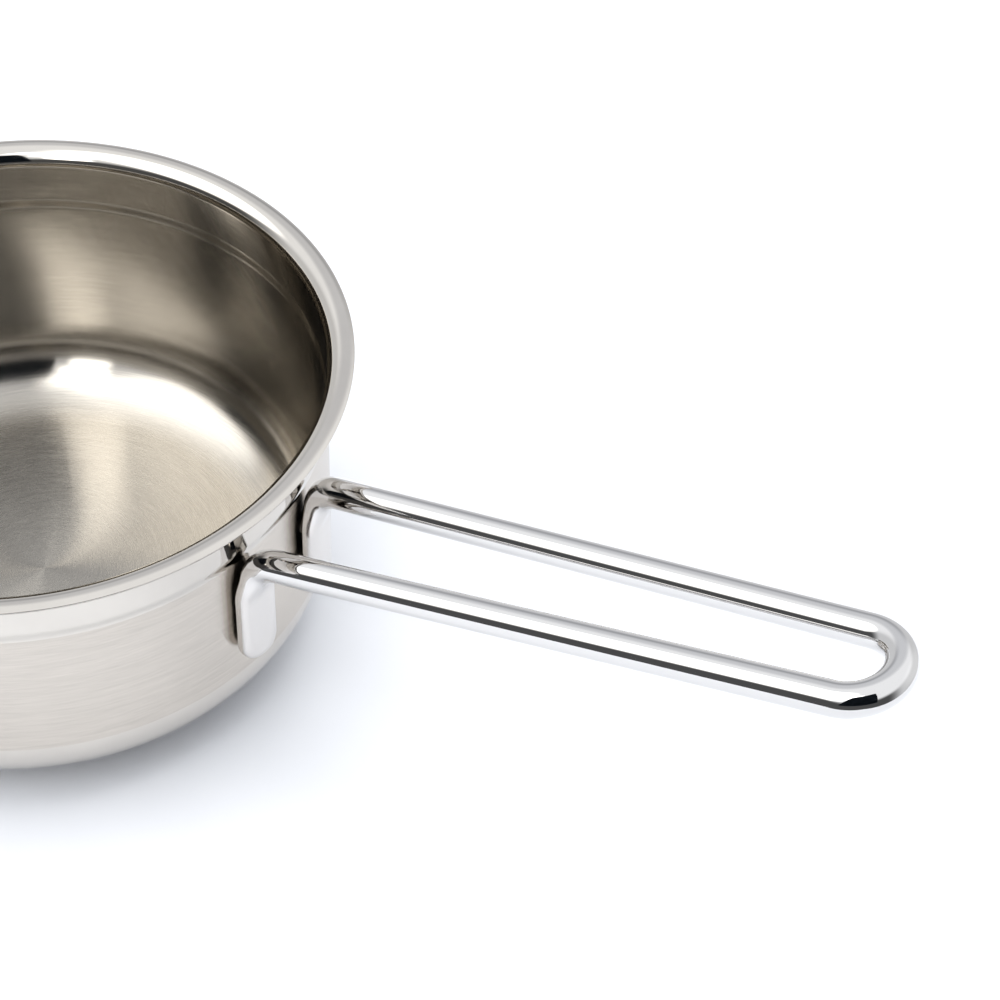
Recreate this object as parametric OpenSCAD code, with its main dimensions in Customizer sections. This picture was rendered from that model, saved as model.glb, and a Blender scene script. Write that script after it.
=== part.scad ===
// Small open pot for melting wax: a drawn bowl with a pouring lip, a heat-spreading base and a bent wire handle.
// The base stands on the XY plane, the bowl's axis is the Z axis and the handle points along +X.

/* [Bowl] */
// Inside diameter of the straight brushed wall
bowl_d = 160; // [140:1:180]
// Inside depth from the top of the lip to the bowl's flat bottom
bowl_depth = 83.5; // [75:0.5:95]
// Thickness of the drawn steel sheet
sheet_t = 0.8; // [0.6:0.1:1]
// Outside radius where the wall turns into the bottom
corner_r = 23; // [16:1:26]

/* [Upper band and lip] */
// Height of the polished band, from the drawn step to the top of the lip
band_h = 18.2; // [17:0.1:22]
// How far the band is wider than the wall, measured on the radius
band_step = 0.6; // [0.4:0.1:1]
// Radius of the flare on the side that wax pours over
lip_r = 5; // [4:0.5:6]
// How far the flare is curled, from the upright wall over its crest
lip_curl = 115; // [100:1:125]

/* [Base] */
// Thickness of the whole base under the bowl
base_t = 5; // [4:0.5:7]
// How far the base's side stands inside the edge of the bowl's flat bottom
base_inset = 0.8; // [0.2:0.1:4]
// Thickness of the base cap's steel
cap_t = 0.6; // [0.5:0.1:0.8]
// Outside radius round the cap's lower edge
cap_edge_r = 2.4; // [1.5:0.1:2.8]

/* [Handle] */
// Diameter of the handle's round rod
rod_d = 8.2; // [7:0.1:9]
// Distance between the rod's two sides where they leave the bends
handle_spacing = 29; // [27:0.5:32]
// Centre-line radius of the round end of the loop
loop_end_r = 11; // [10:0.5:13]
// Distance from the bowl's axis to the far side of the loop
handle_reach = 244; // [220:1:260]
// Upward slope of the loop
handle_tilt = 14.7; // [5:0.1:16]
// Centre-line radius of the bend beside the wall
bend_r = 7; // [6:0.5:8]
// Height of the pressed legs' lower ends above the base plane
leg_foot_z = 36; // [33:0.5:42]
// Height of the loop's centre line above the base plane, where it meets a leg's axis
leg_top_z = 71.4; // [66:0.1:73]
// Width of a pressed leg along the wall
leg_w = 11.8; // [10:0.1:13]
// Thickness of a pressed leg, square to the wall
leg_t = 5.6; // [5:0.1:6.4]

/* [Welds] */
// Diameter of a spot-weld nugget
nugget_d = 5; // [3:0.5:6]
// Gap that the nuggets bridge between a leg and the wall
weld_gap = 0.3; // [0.2:0.1:0.5]
// Distance between the two nuggets of one leg
nugget_pitch = 11; // [8:1:14]

/* [Hidden] */

// Smoothness of round shapes
round_fn = 120;

// Bowl
bowl_r = bowl_d / 2;
wall_r = bowl_r + sheet_t;
flat_r = wall_r - corner_r;
corner_top_z = base_t + corner_r;
lip_top_z = base_t + sheet_t + bowl_depth;
step_z = lip_top_z - band_h;
band_r = bowl_r + band_step;
flare_z = lip_top_z - lip_r;
flare_x = band_r + lip_r;
edge_mid_r = lip_r - sheet_t / 2;

// Height over which the wall leans out to the band
step_h = 1.6;

// Base
cap_r = flat_r - base_inset;
core_r = cap_r - cap_t;

// Rod: bending draws it a hair thinner, and its straight stretches reach over the bends' ends by the overlap
bent_rod_d = rod_d - 0.12;
join_overlap = 0.4;

// The round rod stands this much further off the wall than the pressed legs' flats,
// and stays round this far below the bends
press_relief = 0.3;
press_h = 6;

// Handle: the loop starts on the legs' axes, and loop_end_u is where its round end is centred along its slope
half_spacing = handle_spacing / 2;
leg_axis_r = wall_r + weld_gap + press_relief + rod_d / 2;
leg_angle = asin(half_spacing / leg_axis_r);
leg_axis_x = leg_axis_r * cos(leg_angle);
loop_end_u = (handle_reach - rod_d / 2 - leg_axis_x) / cos(handle_tilt) - loop_end_r;

// Each side leans in by this angle, in the loop's own plane, so that it meets the round end smoothly
side_taper = acos(loop_end_r / norm([half_spacing, loop_end_u])) - atan2(loop_end_u, half_spacing);
side_slope = asin(cos(side_taper) * sin(handle_tilt));
side_heading = atan2(sin(side_taper), cos(side_taper) * cos(handle_tilt));
side_roll = atan(tan(handle_tilt) * sin(side_taper));
bend_turn = 90 - side_slope;
bend_tangent = bend_r * tan(bend_turn / 2);
side_run = (loop_end_u + loop_end_r * sin(side_taper)) / cos(side_taper) - bend_tangent;

// Pressed legs, from the middle of one round end to the middle of the other
leg_mid_r = wall_r + weld_gap + leg_t / 2;
leg_round_r = leg_w / 2;
bend_end_z = leg_top_z - bend_tangent;
leg_low_z = leg_foot_z + leg_round_r;
leg_high_z = bend_end_z - press_h;
leg_run = leg_high_z - leg_low_z;
nugget_mid_z = (leg_low_z + leg_high_z) / 2;

// Flat ring sector from angle start to angle end, for bends in a sheet
module sheet_arc(inner_r, outer_r, start, end) {
    reach = 2 * outer_r;
    middle = (start + end) / 2;
    intersection() {
        difference() {
            circle(r = outer_r, $fn = round_fn);
            circle(r = inner_r, $fn = round_fn);
        }
        polygon([
            [0, 0],
            [reach * cos(start), reach * sin(start)],
            [reach * cos(middle), reach * sin(middle)],
            [reach * cos(end), reach * sin(end)]
        ]);
    }
}

// Half section of the drawn bowl
module shell_section() {
    translate([0, base_t])
        square([flat_r, sheet_t]);
    translate([flat_r, corner_top_z])
        sheet_arc(corner_r - sheet_t, corner_r, 270, 360);
    translate([bowl_r, corner_top_z])
        square([sheet_t, step_z - corner_top_z]);
    polygon([
        [bowl_r, step_z],
        [wall_r, step_z],
        [band_r + sheet_t, step_z + step_h],
        [band_r, step_z + step_h]
    ]);
    translate([band_r, step_z + step_h])
        square([sheet_t, flare_z - step_z - step_h]);
    translate([flare_x, flare_z])
        lip_section();
}

// The flare ends in a rounded sheet edge
module lip_section() {
    edge_angle = 180 - lip_curl;
    sheet_arc(lip_r - sheet_t, lip_r, edge_angle, 180);
    translate([edge_mid_r * cos(edge_angle), edge_mid_r * sin(edge_angle)])
        circle(d = sheet_t, $fn = round_fn);
}

module shell() {
    color("silver")
        rotate_extrude($fn = round_fn)
            shell_section();
}

// Section of a disc with a rounded lower edge, standing on the X axis
module disc_section(radius, height, edge_r) {
    square([radius - edge_r, height]);
    translate([radius - edge_r, edge_r])
        square([edge_r, height - edge_r]);
    intersection() {
        translate([radius - edge_r, edge_r])
            circle(r = edge_r, $fn = round_fn);
        square([radius, height]);
    }
}

module core_section() {
    translate([0, cap_t])
        disc_section(core_r, base_t - cap_t, cap_edge_r - cap_t);
}

module core() {
    color("lightgray")
        rotate_extrude($fn = round_fn)
            core_section();
}

module base_cap() {
    color("darkgray")
        rotate_extrude($fn = round_fn)
            difference() {
                disc_section(cap_r, base_t, cap_edge_r);
                core_section();
            }
}

// Straight stretch of rod along Z, and what follows it. It reaches a little way into its neighbours.
module rod_straight(length) {
    translate([0, 0, -join_overlap])
        cylinder(d = rod_d, h = length + 2 * join_overlap, $fn = round_fn);
    translate([0, 0, length])
        children();
}

// Stretch of rod that starts along Z and turns towards X, and what follows it
module rod_bend(radius, turn) {
    translate([radius, 0, 0]) {
        rotate([-90, 0, 0])
            rotate([0, 0, 180])
                rotate_extrude(angle = turn, $fn = round_fn)
                    translate([radius, 0])
                        circle(d = bent_rod_d, $fn = round_fn);
        rotate([0, turn, 0])
            translate([-radius, 0, 0])
                children();
    }
}

// Pressed leg along Z: a round-ended bar with flats towards the wall and away from it
module leg() {
    translate([leg_mid_r - leg_axis_r, 0, 0])
        intersection() {
            rotate_extrude($fn = round_fn) {
                square([leg_round_r, leg_run]);
                for (end_z = [0, leg_run])
                    translate([0, end_z])
                        leg_round_section();
            }
            translate([-leg_t / 2, -leg_w, -leg_w])
                cube([leg_t, 2 * leg_w, leg_run + 2 * leg_w]);
        }
}

module leg_round_section() {
    intersection() {
        circle(r = leg_round_r, $fn = round_fn);
        translate([0, -leg_round_r])
            square([leg_round_r, 2 * leg_round_r]);
    }
}

// Half of the handle, from the middle of its round end to the foot of its leg
module handle_half() {
    rod_bend(loop_end_r, 90 - side_taper)
        rod_straight(side_run)
            rotate([0, 0, 90 - side_roll])
                rod_bend(bend_r, bend_turn)
                    rod_straight(press_h)
                        rotate([0, 0, leg_angle + side_heading])
                            leg();
}

module handle() {
    color("gainsboro")
        translate([leg_axis_x, 0, leg_top_z])
            rotate([0, -handle_tilt, 0])
                translate([loop_end_u + loop_end_r, 0, 0])
                    for (side = [0, 1])
                        mirror([0, side, 0])
                            rotate([-90, 0, 180])
                                handle_half();
}

// Thin slugs of weld metal between the wall and the flats of the legs
module weld_nuggets() {
    color("dimgray")
        for (side = [-1, 1], row = [-1, 1])
            rotate([0, 0, side * leg_angle])
                translate([wall_r, 0, nugget_mid_z + row * nugget_pitch / 2])
                    rotate([0, 90, 0])
                        cylinder(d = nugget_d, h = weld_gap, $fn = round_fn);
}

shell();
core();
base_cap();
handle();
weld_nuggets();
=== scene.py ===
import math

import bpy
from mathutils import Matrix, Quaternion, Vector


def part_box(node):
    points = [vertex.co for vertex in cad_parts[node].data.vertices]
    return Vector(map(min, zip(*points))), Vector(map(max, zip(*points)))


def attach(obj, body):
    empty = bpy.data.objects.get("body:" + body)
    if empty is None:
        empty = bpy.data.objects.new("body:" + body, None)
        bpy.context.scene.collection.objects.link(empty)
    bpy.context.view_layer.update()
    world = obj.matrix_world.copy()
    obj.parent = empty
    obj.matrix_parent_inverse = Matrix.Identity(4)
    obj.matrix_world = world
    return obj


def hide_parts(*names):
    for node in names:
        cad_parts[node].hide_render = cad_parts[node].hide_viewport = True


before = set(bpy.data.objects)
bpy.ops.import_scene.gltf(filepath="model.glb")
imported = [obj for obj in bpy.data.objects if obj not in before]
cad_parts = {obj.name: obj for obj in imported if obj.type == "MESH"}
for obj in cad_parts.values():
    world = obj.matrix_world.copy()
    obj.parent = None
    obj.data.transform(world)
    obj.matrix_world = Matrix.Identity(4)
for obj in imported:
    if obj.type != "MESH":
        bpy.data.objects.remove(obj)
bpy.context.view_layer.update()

BODY = "root"
MM = 0.001

# ------------------------------------------------------------------ sizes that the design is driven by

SHEET = 0.8 * MM
CORNER_R = 23 * MM
BAND_HEIGHT = 18.2 * MM
BAND_STEP = 0.6 * MM
STEP_HEIGHT = 1.6 * MM
STEP_BLEND = 1.2 * MM
LIP_R = 5 * MM
LIP_CURL = 115
CAP_SHEET = 0.6 * MM
CAP_EDGE_R = 2.4 * MM

ROD_R = 4.1 * MM
HALF_SPACING = 14.5 * MM
LOOP_END_R = 11 * MM
HANDLE_TILT = math.radians(14.7)
BEND_R = 7 * MM
LEG_W = 11.8 * MM
LEG_T = 5.6 * MM
WELD_GAP = 0.3 * MM
PRESS_RELIEF = 0.3 * MM

# ------------------------------------------------------------------ places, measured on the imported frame

SHELL_LOW, SHELL_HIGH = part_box("shell")
CAP_LOW, CAP_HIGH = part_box("base_cap")
HANDLE_LOW, HANDLE_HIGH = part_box("handle")

LIP_TOP = SHELL_HIGH.z
INNER_FLOOR = SHELL_LOW.z + SHEET
EDGE_ANGLE = 180 - LIP_CURL
EDGE_MID_R = LIP_R - SHEET / 2
FLARE_X = -SHELL_LOW.x - SHEET / 2 - EDGE_MID_R * math.cos(math.radians(EDGE_ANGLE))
FLARE_Z = LIP_TOP - LIP_R
BAND_R = FLARE_X - LIP_R
BOWL_R = BAND_R - BAND_STEP
WALL_R = BOWL_R + SHEET
FLAT_R = WALL_R - CORNER_R
CORNER_TOP = SHELL_LOW.z + CORNER_R
STEP_Z = LIP_TOP - BAND_HEIGHT

TIP_X = HANDLE_HIGH.x - ROD_R
TIP_Z = HANDLE_HIGH.z - ROD_R
LEG_FOOT = HANDLE_LOW.z
LEG_AXIS_R = WALL_R + WELD_GAP + PRESS_RELIEF + ROD_R
LEG_MID_R = WALL_R + WELD_GAP + LEG_T / 2
LEG_ANGLE = math.asin(HALF_SPACING / LEG_AXIS_R)
LEG_AXIS_X = LEG_AXIS_R * math.cos(LEG_ANGLE)
LEG_TOP = TIP_Z - (TIP_X - LEG_AXIS_X) * math.tan(HANDLE_TILT)


# ------------------------------------------------------------------ small helpers

def ease(t):
    """Smooth step from 0 to 1."""
    t = min(max(t, 0), 1)
    return t * t * (3 - 2 * t)


def link(thing):
    bpy.context.scene.collection.objects.link(thing)
    return thing


def direction(azimuth, elevation):
    """Unit vector at an angle round Z from +X and an angle above the horizon, both in degrees."""
    azimuth = math.radians(azimuth)
    elevation = math.radians(elevation)
    flat = math.cos(elevation)
    return Vector((math.cos(azimuth) * flat, math.sin(azimuth) * flat, math.sin(elevation)))


def arc(centre, radius, start, end, steps):
    """Points (r, z) along a circle, from one angle in degrees to another."""
    points = []
    for i in range(steps + 1):
        angle = math.radians(start + (end - start) * i / steps)
        points.append((centre[0] + radius * math.cos(angle), centre[1] + radius * math.sin(angle)))
    return points


def line(start, end, steps):
    """Points (r, z) along a straight stretch."""
    return [
        (start[0] + (end[0] - start[0]) * i / steps, start[1] + (end[1] - start[1]) * i / steps)
        for i in range(steps + 1)
    ]


def s_curve(start, end, steps):
    """Points (r, z) of a stretch that eases from one radius to the other."""
    return [
        (start[0] + (end[0] - start[0]) * ease(i / steps), start[1] + (end[1] - start[1]) * i / steps)
        for i in range(steps + 1)
    ]


# ------------------------------------------------------------------ node trees

class Graph:
    """A node tree under construction."""

    def __init__(self, owner):
        owner.use_nodes = True
        self.tree = owner.node_tree
        self.tree.nodes.clear()

    def feed(self, socket, value):
        if isinstance(value, bpy.types.NodeSocket):
            self.tree.links.new(value, socket)
        else:
            socket.default_value = value

    def add(self, kind, sockets=None, **settings):
        """A node with its settings. Each named socket takes a number or another node's output."""
        made = self.tree.nodes.new(kind)
        for name, value in settings.items():
            setattr(made, name, value)
        for name, value in (sockets or {}).items():
            self.feed(made.inputs[name], value)
        return made

    def math(self, operation, *values):
        made = self.add("ShaderNodeMath", operation=operation)
        for socket, value in zip(made.inputs, values):
            self.feed(socket, value)
        return made.outputs[0]

    def vector(self, operation, *values, output=0):
        made = self.add("ShaderNodeVectorMath", operation=operation)
        for socket, value in zip(made.inputs, values):
            self.feed(socket, value)
        return made.outputs[output]

    def scale(self, vector, factor):
        sockets = {"Vector": vector, "Scale": factor}
        return self.add("ShaderNodeVectorMath", sockets, operation="SCALE").outputs[0]

    def combine(self, x, y, z):
        return self.add("ShaderNodeCombineXYZ", {"X": x, "Y": y, "Z": z}).outputs[0]

    def noise(self, vector, scale, detail=2.0, roughness=0.5):
        sockets = {"Vector": vector, "Scale": scale, "Detail": detail, "Roughness": roughness}
        return self.add("ShaderNodeTexNoise", sockets).outputs[0]

    def spread(self, value, start, end, low=0.0, high=1.0, smooth=False):
        """Maps a value from one range to another, and holds it there."""
        sockets = {"Value": value, "From Min": start, "From Max": end, "To Min": low, "To Max": high}
        kind = "SMOOTHSTEP" if smooth else "LINEAR"
        return self.add("ShaderNodeMapRange", sockets, interpolation_type=kind).outputs[0]

    def blend(self, share, first, second):
        """A colour between two others."""
        made = self.add("ShaderNodeMix", data_type="RGBA")
        self.feed(made.inputs["Factor"], share)
        self.feed(made.inputs["A"], first)
        self.feed(made.inputs["B"], second)
        return made.outputs["Result"]

    def bump(self, height, strength, distance, normal=None):
        sockets = {"Height": height, "Strength": strength, "Distance": distance}
        if normal:
            sockets["Normal"] = normal
        return self.add("ShaderNodeBump", sockets).outputs[0]


def rgba(colour):
    return (*colour, 1.0)


def metal(name, paint, anisotropic=0.0):
    """A metal whose colour, roughness and normal come from the outputs that paint returns."""
    material = bpy.data.materials.new(name)
    graph = Graph(material)
    shader = graph.add("ShaderNodeBsdfPrincipled", {"Metallic": 1.0, "Anisotropic": anisotropic})
    output = graph.add("ShaderNodeOutputMaterial")
    graph.feed(output.inputs["Surface"], shader.outputs[0])
    colour, roughness, normal = paint(graph)
    graph.feed(shader.inputs["Base Color"], colour)
    graph.feed(shader.inputs["Roughness"], roughness)
    graph.feed(shader.inputs["Normal"], normal)
    if anisotropic:
        round_z = graph.add("ShaderNodeTangent", direction_type="RADIAL", axis="Z")
        graph.feed(shader.inputs["Tangent"], round_z.outputs[0])
        shader.inputs["Anisotropic Rotation"].default_value = 0.25
    return material


def turned_place(graph):
    """A seamless place on a turned piece: its direction round the axis, and its way along the section."""
    place = graph.add("ShaderNodeTexCoord").outputs["Object"]
    parts = graph.add("ShaderNodeSeparateXYZ", {"Vector": place})
    flat = graph.combine(parts.outputs["X"], parts.outputs["Y"], 0.0)
    radius = graph.vector("LENGTH", flat, output="Value")
    around = graph.vector("NORMALIZE", flat)
    along = graph.math("ADD", radius, parts.outputs["Z"])
    return place, around, along


def brush_lines(graph, around, along, pitch, turn):
    """Fine lines round the axis.

    pitch is their spacing in metres, and turn is how fast they change on their way round."""
    lines = graph.combine(0.0, 0.0, graph.math("DIVIDE", along, pitch))
    return graph.noise(graph.vector("ADD", graph.scale(around, turn), lines), 1.0, 2.0, 0.6)


# ------------------------------------------------------------------ materials

# Steel colours: the high and the low tone of the brushed lines. The inside tones are the same steel made
# darker, as painted shade for the inside of the bowl
OUTSIDE_STEEL = ((0.67, 0.625, 0.57), (0.55, 0.515, 0.47))
INSIDE_STEEL_WITH_PAINTED_SHADE = ((0.57, 0.54, 0.49), (0.48, 0.455, 0.415))

# Height over which the inside gets smoother from the bottom up
BOTTOM_BLEND = 9 * MM


def polished_paint(graph):
    """Buffed steel: smudges, a faint orange peel and hairlines left by the wheel."""
    place, around, along = turned_place(graph)
    smudge = graph.noise(place, 45.0, 4.0, 0.6)
    hairline = brush_lines(graph, around, along, 0.09 * MM, 3.0)
    roughness = graph.spread(smudge, 0.3, 0.75, 0.035, 0.085)
    share = graph.spread(smudge, 0.35, 0.8)
    colour = graph.blend(share, rgba((0.67, 0.64, 0.595)), rgba((0.62, 0.59, 0.55)))
    peel = graph.bump(graph.noise(place, 160.0, 1.0), 0.12, 0.02 * MM)
    return colour, roughness, graph.bump(hairline, 0.03, 0.004 * MM, peel)


def brushed_paint(tones, smooth, rough, depth, rougher_bottom=0.0):
    """Steel brushed round the axis, between two roughnesses: fine lines of uneven depth, and soft blotches.

    tones are the high and low colours of the lines, and depth is the strength of their bump.
    The bottom can be rougher than the wall, with a gradual change round the corner."""
    def paint(graph):
        place, around, along = turned_place(graph)
        fine = brush_lines(graph, around, along, 0.22 * MM, 9.0)
        coarse = brush_lines(graph, around, along, 0.7 * MM, 4.0)
        blotch = graph.noise(place, 60.0, 3.0, 0.55)
        lines = graph.math("ADD", graph.math("MULTIPLY", fine, 0.6), graph.math("MULTIPLY", coarse, 0.4))
        colour = graph.blend(graph.spread(lines, 0.36, 0.64), rgba(tones[1]), rgba(tones[0]))
        uneven = graph.spread(blotch, 0.3, 0.7, -0.01, 0.01)
        roughness = graph.math("ADD", graph.spread(lines, 0.3, 0.7, smooth, rough), uneven)
        if rougher_bottom:
            height = graph.add("ShaderNodeSeparateXYZ", {"Vector": place}).outputs["Z"]
            top = INNER_FLOOR + BOTTOM_BLEND
            more = graph.spread(height, INNER_FLOOR, top, rougher_bottom, 0.0, smooth=True)
            roughness = graph.math("ADD", roughness, more)
        return colour, roughness, graph.bump(lines, depth, 0.01 * MM)
    return paint


def turned_paint(graph):
    """Underside of the base: coarser turned rings with scuffs from sliding on a hob."""
    place, around, along = turned_place(graph)
    rings = brush_lines(graph, around, along, 0.35 * MM, 3.0)
    scuff = graph.noise(place, 90.0, 5.0, 0.7)
    share = graph.spread(rings, 0.35, 0.65)
    colour = graph.blend(share, rgba((0.58, 0.575, 0.565)), rgba((0.70, 0.69, 0.68)))
    roughness = graph.spread(scuff, 0.3, 0.7, 0.24, 0.4)
    return colour, roughness, graph.bump(rings, 0.5, 0.02 * MM)


def rod_paint(graph):
    """Polished rod, and the pressed legs, which the press leaves slightly dimpled and duller."""
    place = graph.add("ShaderNodeTexCoord").outputs["Object"]
    pressed = graph.add("ShaderNodeAttribute", attribute_name="pressed").outputs["Fac"]
    smudge = graph.noise(place, 70.0, 4.0, 0.6)
    mottle = graph.noise(place, 900.0, 3.0, 0.65)
    plain = graph.spread(smudge, 0.3, 0.75, 0.03, 0.07)
    dull = graph.math("MULTIPLY", pressed, graph.spread(mottle, 0.35, 0.7, 0.04, 0.14))
    worn = graph.math("MULTIPLY", pressed, graph.spread(mottle, 0.35, 0.7, 0.55, 1.0))
    colour = graph.blend(worn, rgba((0.70, 0.69, 0.68)), rgba((0.71, 0.685, 0.66)))
    peel = graph.bump(graph.noise(place, 220.0, 1.0), 0.1, 0.02 * MM)
    dimples = graph.bump(graph.math("MULTIPLY", mottle, pressed), 0.2, 0.02 * MM, peel)
    return colour, graph.math("ADD", plain, dull), dimples


def aluminium_paint(graph):
    """Rolled aluminium: straight rolling lines along X."""
    place = graph.add("ShaderNodeTexCoord").outputs["Object"]
    stretched = graph.vector("MULTIPLY", place, (60.0, 4000.0, 4000.0))
    rolled = graph.noise(stretched, 1.0, 3.0)
    colour = graph.blend(rolled, rgba((0.72, 0.725, 0.735)), rgba((0.84, 0.845, 0.85)))
    return colour, graph.spread(rolled, 0.3, 0.7, 0.3, 0.45), graph.bump(rolled, 0.2, 0.01 * MM)


def weld_paint(graph):
    """Bare weld metal: grainy, with a brown heat tint."""
    place = graph.add("ShaderNodeTexCoord").outputs["Object"]
    grain = graph.noise(place, 2500.0, 4.0, 0.7)
    colour = graph.blend(grain, rgba((0.30, 0.25, 0.21)), rgba((0.55, 0.54, 0.53)))
    return colour, graph.spread(grain, 0.3, 0.7, 0.35, 0.6), graph.bump(grain, 0.6, 0.05 * MM)


def make_floor_paint():
    material = bpy.data.materials.new("floor_paint")
    graph = Graph(material)
    place = graph.add("ShaderNodeTexCoord").outputs["Object"]
    tone = graph.spread(graph.noise(place, 3.0), 0.0, 1.0, 0.86, 0.89)
    colour = graph.scale((0.955, 0.98, 1.03), tone)
    sockets = {"Base Color": colour, "Roughness": 0.7, "Specular IOR Level": 0.1}
    shader = graph.add("ShaderNodeBsdfPrincipled", sockets)
    output = graph.add("ShaderNodeOutputMaterial")
    graph.feed(output.inputs["Surface"], shader.outputs[0])
    return material


# ------------------------------------------------------------------ meshes

def new_piece(name, points, faces, materials, kinds):
    """A smooth mesh that rides on the body. kinds holds each face's material number."""
    mesh = bpy.data.meshes.new(name)
    mesh.from_pydata(points, [], faces)
    for material in materials:
        mesh.materials.append(material)
    mesh.polygons.foreach_set("material_index", kinds)
    mesh.polygons.foreach_set("use_smooth", [True] * len(faces))
    mesh.update()
    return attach(link(bpy.data.objects.new(name, mesh)), BODY)


def lathe(name, stretches, materials, segments=288):
    """Turns an outline about Z. A stretch is (points, material number).

    The outline starts and ends on the axis."""
    outline = []
    kinds = []
    for points, kind in stretches:
        fresh = [p for p in points if not outline or math.dist(p, outline[-1]) > 1e-9]
        kinds += [kind] * (len(fresh) if outline else len(fresh) - 1)
        outline += fresh
    vertices = []
    rings = []
    for radius, height in outline:
        if radius < 1e-9:
            rings.append([len(vertices)] * segments)
            vertices.append((0, 0, height))
            continue
        rings.append(range(len(vertices), len(vertices) + segments))
        for i in range(segments):
            angle = math.tau * i / segments
            vertices.append((radius * math.cos(angle), radius * math.sin(angle), height))
    faces = []
    face_kinds = []
    for low, high, kind in zip(rings, rings[1:], kinds):
        for i in range(segments):
            j = (i + 1) % segments
            faces.append(list(dict.fromkeys([low[i], low[j], high[j], high[i]])))
            face_kinds.append(kind)
    return new_piece(name, vertices, faces, materials, face_kinds)


# ------------------------------------------------------------------ bowl

# Numbers of the bowl's materials
POLISHED = 0
BRUSHED = 1
INSIDE = 2

# The base cap has the polished material and this one
TURNED = 1

# The lip's cut edge has small rounded corners, whose centres lie this far past the end of the curl
EDGE_CORNER_R = 0.15 * MM
EDGE_REACH = 0.1 * MM


def edge_corner(side):
    """Centre of a small rounded corner of the lip's cut edge, on the sheet's inner (-1) or outer (1) side."""
    angle = math.radians(EDGE_ANGLE)
    radius = EDGE_MID_R + side * (SHEET / 2 - EDGE_CORNER_R)
    r = FLARE_X + radius * math.cos(angle) + EDGE_REACH * math.sin(angle)
    z = FLARE_Z + radius * math.sin(angle) - EDGE_REACH * math.cos(angle)
    return r, z


def make_shell(materials):
    step_low = STEP_Z - STEP_BLEND
    step_top = STEP_Z + STEP_HEIGHT + STEP_BLEND
    stretches = [
        (line((0, SHELL_LOW.z), (FLAT_R, SHELL_LOW.z), 8), BRUSHED),
        (arc((FLAT_R, CORNER_TOP), CORNER_R, 270, 360, 40), POLISHED),
        (line((WALL_R, CORNER_TOP), (WALL_R, step_low), 24), BRUSHED),
        (s_curve((WALL_R, step_low), (BAND_R + SHEET, step_top), 16), POLISHED),
        (line((BAND_R + SHEET, step_top), (BAND_R + SHEET, FLARE_Z), 12), POLISHED),
        (arc((FLARE_X, FLARE_Z), LIP_R - SHEET, 180, EDGE_ANGLE, 32), POLISHED),
        (arc(edge_corner(-1), EDGE_CORNER_R, EDGE_ANGLE - 180, EDGE_ANGLE - 90, 6), POLISHED),
        (arc(edge_corner(1), EDGE_CORNER_R, EDGE_ANGLE - 90, EDGE_ANGLE, 6), POLISHED),
        (arc((FLARE_X, FLARE_Z), LIP_R, EDGE_ANGLE, 180, 40), POLISHED),
        (line((BAND_R, FLARE_Z), (BAND_R, step_top), 12), INSIDE),
        (s_curve((BAND_R, step_top), (BOWL_R, step_low), 16), INSIDE),
        (line((BOWL_R, step_low), (BOWL_R, CORNER_TOP), 24), INSIDE),
        (arc((FLAT_R, CORNER_TOP), CORNER_R - SHEET, 360, 270, 40), INSIDE),
        (line((FLAT_R, INNER_FLOOR), (0, INNER_FLOOR), 24), INSIDE),
    ]
    piece = lathe("bowl_shell", stretches, materials)
    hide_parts("shell")


def make_base(polished, turned):
    side_r = CAP_HIGH.x
    flat_r = side_r - CAP_EDGE_R
    ring_pitch = 2 * MM
    ring_depth = 0.05 * MM
    ring_steps = 150
    underside = []
    for i in range(ring_steps + 1):
        radius = flat_r * i / ring_steps
        wave = math.cos(math.tau * radius / ring_pitch) if radius < flat_r - ring_pitch else 1
        underside.append((radius, CAP_LOW.z + ring_depth * (1 - wave) / 2))
    inner_r = side_r - CAP_SHEET
    stretches = [
        (underside, TURNED),
        (arc((flat_r, CAP_EDGE_R), CAP_EDGE_R, 270, 360, 16), POLISHED),
        (line((side_r, CAP_EDGE_R), (side_r, CAP_HIGH.z), 6), POLISHED),
        (line((side_r, CAP_HIGH.z), (inner_r, CAP_HIGH.z), 1), POLISHED),
        (line((inner_r, CAP_HIGH.z), (inner_r, CAP_EDGE_R), 4), POLISHED),
        (arc((flat_r, CAP_EDGE_R), CAP_EDGE_R - CAP_SHEET, 360, 270, 12), POLISHED),
        (line((flat_r, CAP_LOW.z + CAP_SHEET), (0, CAP_LOW.z + CAP_SHEET), 8), TURNED),
    ]
    piece = lathe("base_cap_turned", stretches, [polished, turned], 240)
    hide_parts("base_cap")


# ------------------------------------------------------------------ handle

SLOPE = Vector((math.cos(HANDLE_TILT), 0, math.sin(HANDLE_TILT)))
LOOP_DOWN = Vector((math.sin(HANDLE_TILT), 0, -math.cos(HANDLE_TILT)))
ROD_SIDES = 72
LEG_STEPS = 60
BEND_STEPS = 32
SIDE_STEPS = 30
END_STEPS = 32

# The legs are fully pressed up to this far below the bend, and the rod is round again this much further on
PRESS_REACH = 7 * MM
PRESS_BLEND = 12 * MM

# Power of the section's rounded box: 2 is a circle, and the pressed legs add to it
ROUND_POWER = 2
PRESSED_POWER = 0.8


def rounded_corner(before, corner, after, radius, steps):
    """Points along the arc that rounds a corner between two straight stretches."""
    to_before = (before - corner).normalized()
    to_after = (after - corner).normalized()
    half = to_before.angle(to_after) / 2
    centre = corner + (to_before + to_after).normalized() * (radius / math.sin(half))
    start = corner + to_before * (radius / math.tan(half)) - centre
    end = corner + to_after * (radius / math.tan(half)) - centre
    axis = start.cross(end)
    turn = start.angle(end)
    return [centre + Quaternion(axis, turn * i / steps) @ start for i in range(steps + 1)]


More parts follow.
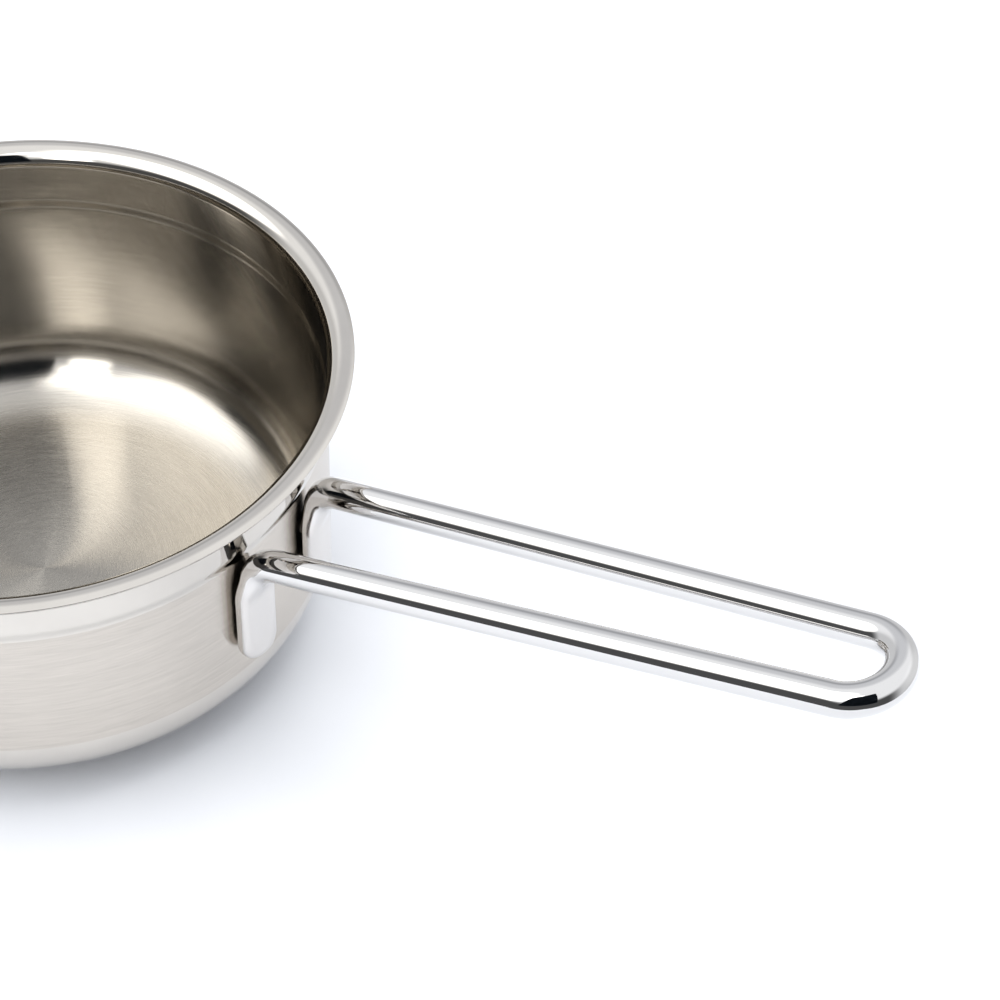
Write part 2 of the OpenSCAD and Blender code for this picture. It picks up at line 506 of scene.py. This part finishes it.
def half_route():
    """Centre line of the rod from the foot of the leg at -Y to the middle of the round end."""
    across = Vector((0, -1, 0))
    top = Vector((LEG_AXIS_X, 0, LEG_TOP))
    end_u = (TIP_X - LEG_AXIS_X) / SLOPE.x - LOOP_END_R
    taper = math.acos(LOOP_END_R / math.hypot(HALF_SPACING, end_u)) - math.atan2(end_u, HALF_SPACING)
    round_end = []
    for i in range(END_STEPS + 1):
        angle = (math.pi / 2 - taper) * (1 - i / END_STEPS)
        along = end_u + LOOP_END_R * math.cos(angle)
        round_end.append(top + SLOPE * along + across * (LOOP_END_R * math.sin(angle)))
    corner = top + across * HALF_SPACING
    foot = Vector((corner.x, corner.y, LEG_FOOT))
    bend = rounded_corner(foot, corner, round_end[0], BEND_R, BEND_STEPS)
    leg = []
    for i in range(LEG_STEPS):
        share = 1 - math.cos(math.pi / 2 * i / LEG_STEPS)
        leg.append(foot.lerp(bend[0], share))
    side = [bend[-1].lerp(round_end[0], i / SIDE_STEPS) for i in range(1, SIDE_STEPS)]
    return leg + bend + side + round_end


def rod_section(from_foot, leg_length):
    """The rod's section at a distance from the foot.

    It gives how far the rod is pressed, and its half width, half thickness and squareness."""
    pressed = 1 - ease((from_foot - leg_length + PRESS_REACH) / PRESS_BLEND)
    half_w = ROD_R + (LEG_W / 2 - ROD_R) * pressed
    half_t = ROD_R + (LEG_T / 2 - ROD_R) * pressed
    end_r = LEG_W / 2
    if from_foot < end_r:
        half_w *= math.sqrt(max(1 - (1 - from_foot / end_r) ** 2, 0))
    rim_r = LEG_T / 2
    if from_foot < rim_r:
        half_t *= math.sqrt(max(1 - (1 - from_foot / rim_r) ** 2, 0))
    return pressed, half_w, half_t, ROUND_POWER + PRESSED_POWER * pressed


def rounded(value, power):
    """A sine or cosine raised to a power with its sign kept, for a circle that turns into a rounded box."""
    return math.copysign(abs(value) ** power, value)


def make_handle(material):
    route = half_route()
    bend_start = route[LEG_STEPS]
    leg_length = bend_start.z - LEG_FOOT
    outward = Vector((math.cos(LEG_ANGLE), -math.sin(LEG_ANGLE), 0))
    bend_end = LEG_STEPS + BEND_STEPS
    rising = route[LEG_STEPS] - route[LEG_STEPS - 1]
    leaving = route[bend_end + 1] - route[bend_end]
    bend_axis = rising.cross(leaving).normalized()
    leg_twist = outward.angle(bend_axis.cross(Vector((0, 0, 1))))
    rings = []
    pressing = []
    from_foot = 0
    for k, point in enumerate(route):
        ahead = route[min(k + 1, len(route) - 1)]
        behind = route[max(k - 1, 0)]
        tangent = (ahead - behind).normalized()
        if k == len(route) - 1:
            tangent = Vector((0, 1, 0))
        if k:
            from_foot += (point - behind).length
        pressed, half_w, half_t, square = rod_section(from_foot, leg_length)
        if k <= bend_end:
            thick = bend_axis.cross(tangent)
            thick = Quaternion(tangent, -leg_twist * pressed) @ thick
        else:
            thick = LOOP_DOWN
        thick = (thick - tangent * thick.dot(tangent)).normalized()
        wide = tangent.cross(thick)
        middle = point + thick * ((LEG_MID_R - LEG_AXIS_R) * pressed)
        ring = []
        for i in range(ROD_SIDES):
            angle = math.tau * i / ROD_SIDES
            across = half_w * rounded(math.cos(angle), 2 / square)
            through = half_t * rounded(math.sin(angle), 2 / square)
            ring.append(middle + wide * across + thick * through)
        rings.append(ring)
        pressing.append(pressed)
    mirrored = [[Vector((p.x, -p.y, p.z)) for p in ring] for ring in rings[-2::-1]]
    rings += mirrored
    pressing += pressing[-2::-1]
    vertices = [p for ring in rings for p in ring]
    faces = []
    for k in range(len(rings) - 1):
        for i in range(ROD_SIDES):
            j = (i + 1) % ROD_SIDES
            low = k * ROD_SIDES
            high = low + ROD_SIDES
            faces.append((low + i, low + j, high + j, high + i))
    piece = new_piece("wire_handle", vertices, faces, [material], [0] * len(faces))
    attribute = piece.data.attributes.new("pressed", "FLOAT", "POINT")
    attribute.data.foreach_set("value", [p for p in pressing for _ in range(ROD_SIDES)])
    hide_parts("handle")


# ------------------------------------------------------------------ studio

CAMERA_AIM = Vector((132.3 * MM, 19.7 * MM, LIP_TOP))
CAMERA_AZIMUTH = -63.47
CAMERA_ELEVATION = 46.65
CAMERA_DISTANCE = 532 * MM
CAMERA_ROLL = math.radians(3.61)
CAMERA_LENS = 79.2

# The tent is bright above and fades to the horizon, where its open side faces a darker room
TENT_HIGH = 1.0
TENT_BACK_LOW = 0.70
TENT_FRONT_LOW = 0.11
TENT_FRONT_AZIMUTH = -75
TENT_FADE = (19, 37)

# Brighter and darker places in the tent: azimuth, elevation, half angle at full strength, half angle
# where it ends, colour, and how much it adds
TENT_PLACES = [
    (-132, 50, 22, 32, (1.0, 0.985, 0.955), 1.3),
    (-77, 30, 5, 9, (1.0, 0.99, 0.97), 2.2),
    (-77, 44, 6, 10, (1.0, 0.99, 0.97), 2.2),
    (-77, 60, 6, 11, (1.0, 0.99, 0.97), 2.2),
    (45, 12, 10, 35, (1.0, 1.0, 1.0), 0.12),
    (120, 36, 12, 32, (1.0, 1.0, 0.98), -0.28),
]

FLOOR_HALF = 0.5
FLOOR_MID = (0.1, 0.08)

# A softbox overhead that lights the floor and doesn't show in the steel
TOP_LIGHT = direction(60, 76) * 1.5
TOP_LIGHT_SIZE = 1.0
TOP_LIGHT_WATTS = 8.5

# The dark side of the room behind the camera: where it stands as seen from the middle of the handle
CARD_FROM = Vector((170 * MM, 0, 0))
CARD_AZIMUTH = -56
CARD_DISTANCE = 420 * MM
CARD_HALF_WIDTH = 215 * MM
CARD_LOW = 200 * MM
CARD_HIGH = 960 * MM


def make_camera():
    data = bpy.data.cameras.new("camera")
    data.lens = CAMERA_LENS
    data.clip_start = 10 * MM
    camera = link(bpy.data.objects.new("camera", data))
    back = direction(CAMERA_AZIMUTH, CAMERA_ELEVATION)
    camera.location = CAMERA_AIM + back * CAMERA_DISTANCE
    camera.rotation_mode = "QUATERNION"
    camera.rotation_quaternion = (-back).to_track_quat("-Z", "Y") @ Quaternion((0, 0, 1), CAMERA_ROLL)
    bpy.context.scene.camera = camera


def make_floor():
    turns = [(-1, -1), (1, -1), (1, 1), (-1, 1)]
    corners = [(FLOOR_MID[0] + x * FLOOR_HALF, FLOOR_MID[1] + y * FLOOR_HALF, 0) for x, y in turns]
    mesh = bpy.data.meshes.new("floor")
    mesh.from_pydata(corners, [], [(0, 1, 2, 3)])
    mesh.materials.append(make_floor_paint())
    link(bpy.data.objects.new("floor", mesh))


def make_card():
    """A black card behind the camera. It shows only in reflections."""
    middle = CARD_FROM + direction(CARD_AZIMUTH, 0) * CARD_DISTANCE
    across = direction(CARD_AZIMUTH + 90, 0) * CARD_HALF_WIDTH
    low = Vector((0, 0, CARD_LOW))
    high = Vector((0, 0, CARD_HIGH))
    corners = [middle - across + low, middle + across + low, middle + across + high, middle - across + high]
    mesh = bpy.data.meshes.new("dark_card")
    mesh.from_pydata(corners, [], [(0, 1, 2, 3)])
    material = bpy.data.materials.new("black_cloth")
    graph = Graph(material)
    cloth = graph.noise(graph.add("ShaderNodeTexCoord").outputs["Object"], 12.0, 3.0)
    tone = graph.spread(cloth, 0.3, 0.7, 0.008, 0.02)
    shader = graph.add("ShaderNodeBsdfDiffuse", {"Color": graph.scale((0.8, 1.0, 1.3), tone)})
    output = graph.add("ShaderNodeOutputMaterial")
    graph.feed(output.inputs["Surface"], shader.outputs[0])
    mesh.materials.append(material)
    card = link(bpy.data.objects.new("dark_card", mesh))
    card.visible_camera = False


def make_top_light():
    data = bpy.data.lights.new("top_light", "AREA")
    data.shape = "SQUARE"
    data.size = TOP_LIGHT_SIZE
    data.energy = TOP_LIGHT_WATTS
    data.color = (1.0, 0.985, 0.955)
    light = link(bpy.data.objects.new("top_light", data))
    light.location = TOP_LIGHT
    light.rotation_mode = "QUATERNION"
    light.rotation_quaternion = (-TOP_LIGHT).to_track_quat("-Z", "Y")
    light.visible_camera = False
    light.visible_glossy = False


def make_world():
    """A white light tent. The camera itself sees a plain white backdrop."""
    world = bpy.data.worlds.new("studio")
    bpy.context.scene.world = world
    graph = Graph(world)
    towards = graph.add("ShaderNodeTexCoord").outputs["Generated"]
    height = graph.add("ShaderNodeSeparateXYZ", {"Vector": towards}).outputs["Z"]
    front = graph.vector("DOT_PRODUCT", towards, tuple(direction(TENT_FRONT_AZIMUTH, 0)), output="Value")
    low = graph.spread(front, 0.0, 0.5, TENT_BACK_LOW, TENT_FRONT_LOW, smooth=True)
    fade_start, fade_end = (math.sin(math.radians(e)) for e in TENT_FADE)
    tent = graph.spread(height, fade_start, fade_end, low, TENT_HIGH, smooth=True)
    glow = graph.scale((0.975, 0.99, 1.02), tent)
    for azimuth, elevation, full, end, colour, strength in TENT_PLACES:
        facing = graph.vector("DOT_PRODUCT", towards, tuple(direction(azimuth, elevation)), output="Value")
        edge = math.cos(math.radians(end))
        core = math.cos(math.radians(full))
        share = graph.spread(facing, edge, core, 0.0, strength, smooth=True)
        glow = graph.vector("ADD", glow, graph.scale(tuple(colour), share))
    glow = graph.vector("MAXIMUM", glow, (0.0, 0.0, 0.0))
    room = graph.add("ShaderNodeBackground", {"Color": glow, "Strength": 1.0})
    backdrop = graph.add("ShaderNodeBackground", {"Color": rgba((1, 1, 1)), "Strength": 1.0})
    seen = graph.add("ShaderNodeLightPath").outputs["Is Camera Ray"]
    mixed = graph.add("ShaderNodeMixShader", {"Fac": seen})
    graph.feed(mixed.inputs[1], room.outputs[0])
    graph.feed(mixed.inputs[2], backdrop.outputs[0])
    output = graph.add("ShaderNodeOutputWorld")
    graph.feed(output.inputs["Surface"], mixed.outputs[0])


def repaint(node, material):
    """Gives a CAD node that stays as it is a finished material."""
    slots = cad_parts[node].data.materials
    slots.clear()
    slots.append(material)


make_camera()
make_floor()
make_card()
make_top_light()
make_world()

polished_steel = metal("polished_steel", polished_paint)
brushed_steel = metal("brushed_steel", brushed_paint(OUTSIDE_STEEL, 0.18, 0.26, 0.06), anisotropic=0.85)
# The inside gets the darker steel tones: painted shade on the inside of the bowl
inside_paint = brushed_paint(INSIDE_STEEL_WITH_PAINTED_SHADE, 0.10, 0.14, 0.012, rougher_bottom=0.15)
inside_steel = metal("inside_steel", inside_paint, anisotropic=0.96)
turned_steel = metal("turned_steel", turned_paint, anisotropic=0.6)

make_shell([polished_steel, brushed_steel, inside_steel])
make_base(polished_steel, turned_steel)
make_handle(metal("polished_rod", rod_paint))
repaint("core", metal("rolled_aluminium", aluminium_paint))
repaint("weld_nuggets", metal("weld_metal", weld_paint))

bpy.context.scene.view_settings.view_transform = "Standard"
bpy.context.scene.view_settings.look = "Medium High Contrast"
